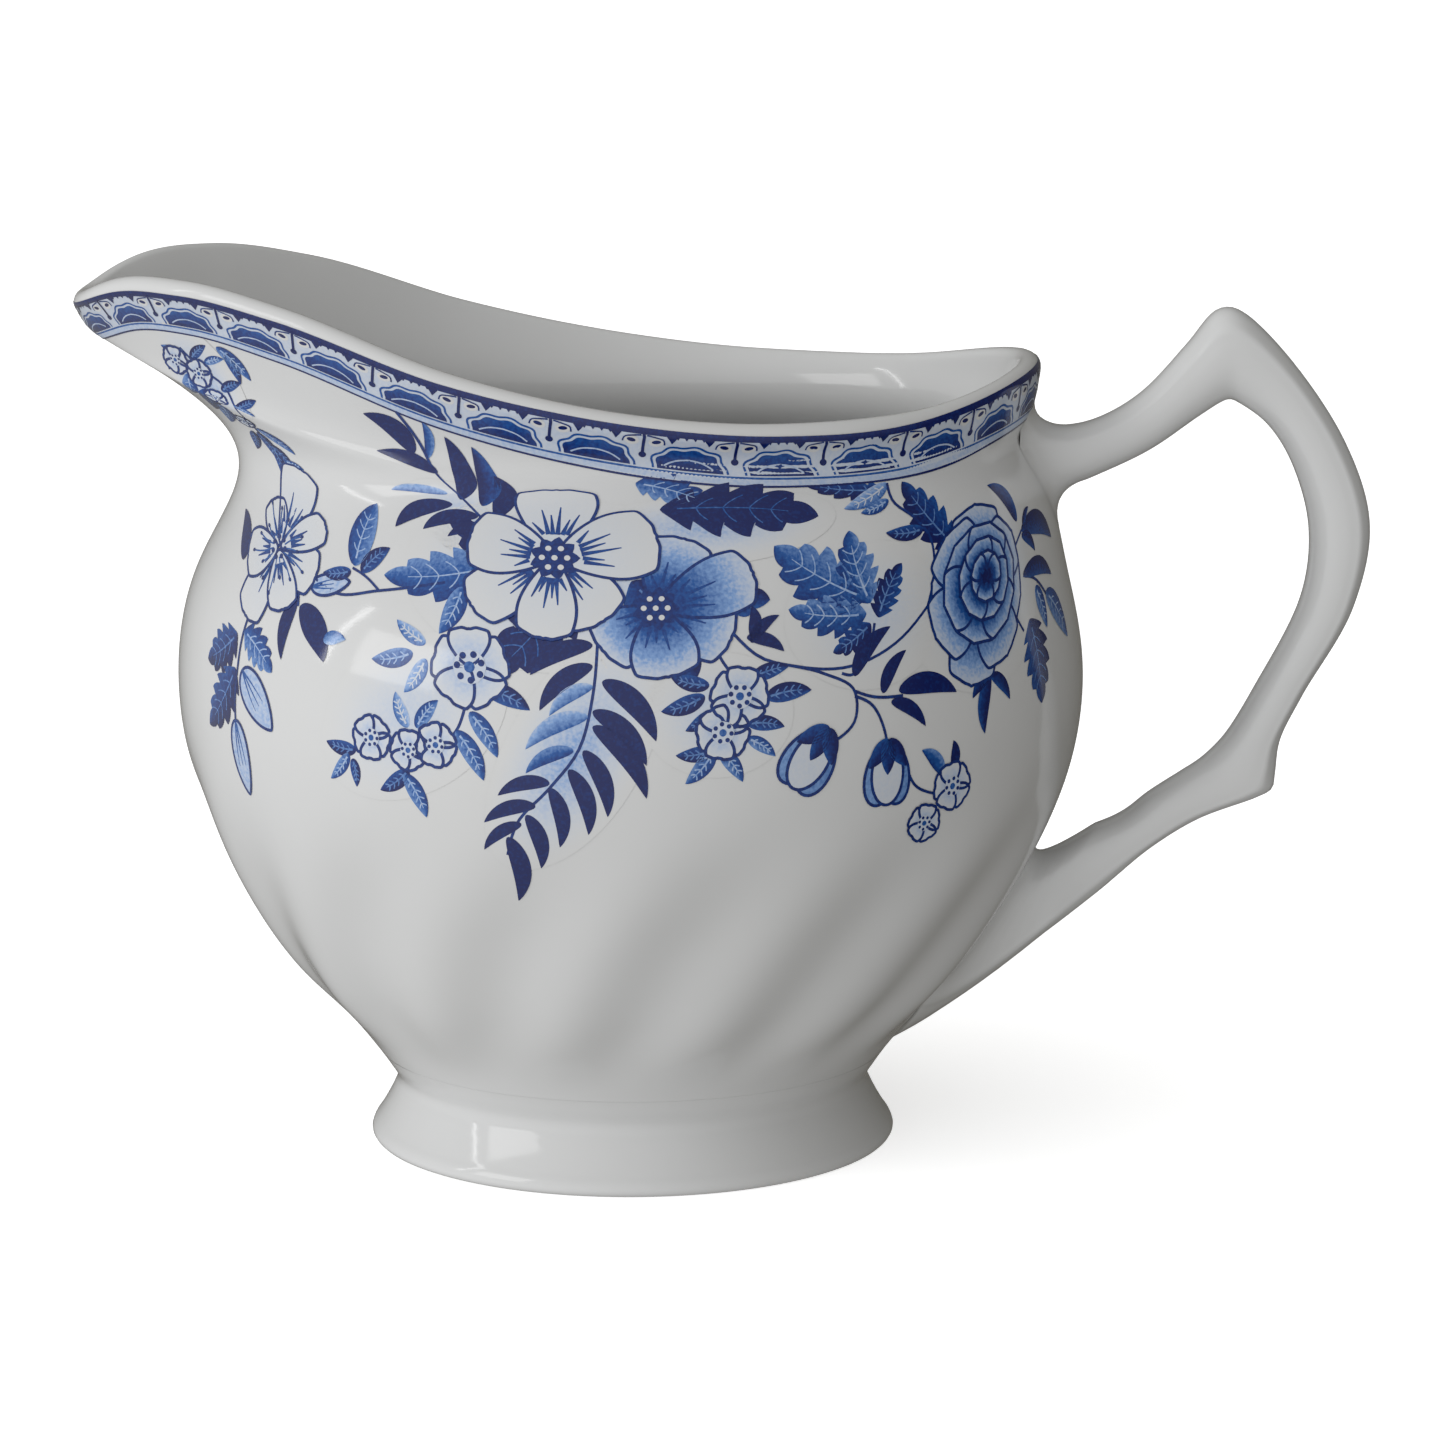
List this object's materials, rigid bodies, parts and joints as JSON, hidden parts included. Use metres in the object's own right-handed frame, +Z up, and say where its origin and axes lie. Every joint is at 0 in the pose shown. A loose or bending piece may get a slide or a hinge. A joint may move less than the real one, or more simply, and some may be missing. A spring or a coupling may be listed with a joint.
{
  "type": "cream jug",
  "caption": "Glazed ceramic cream jug with a round swirl-fluted belly, a raised pouring spout, an angular loop handle and a flared foot.",
  "frame": {"origin": "on the table plane, under the middle of the whole jug's length and width, so the foot's axis is 10.5 mm towards the spout from it", "axes": "+X from the spout to the handle, +Y across the jug, +Z up from the foot to the rim"},
  "size_m": [0.1432, 0.1004, 0.0986],
  "materials": {
    "body_glaze": "glossy clear glaze over an off-white body with an underglaze blue floral transfer print",
    "foot_glaze": "glossy clear glaze over an off-white body",
    "handle_glaze": "glossy clear glaze over an off-white body"
  },
  "bodies": {
    "root": {"body_shell": "body_glaze", "foot_ring": "foot_glaze", "handle": "handle_glaze"}
  },
  "joints": []
}
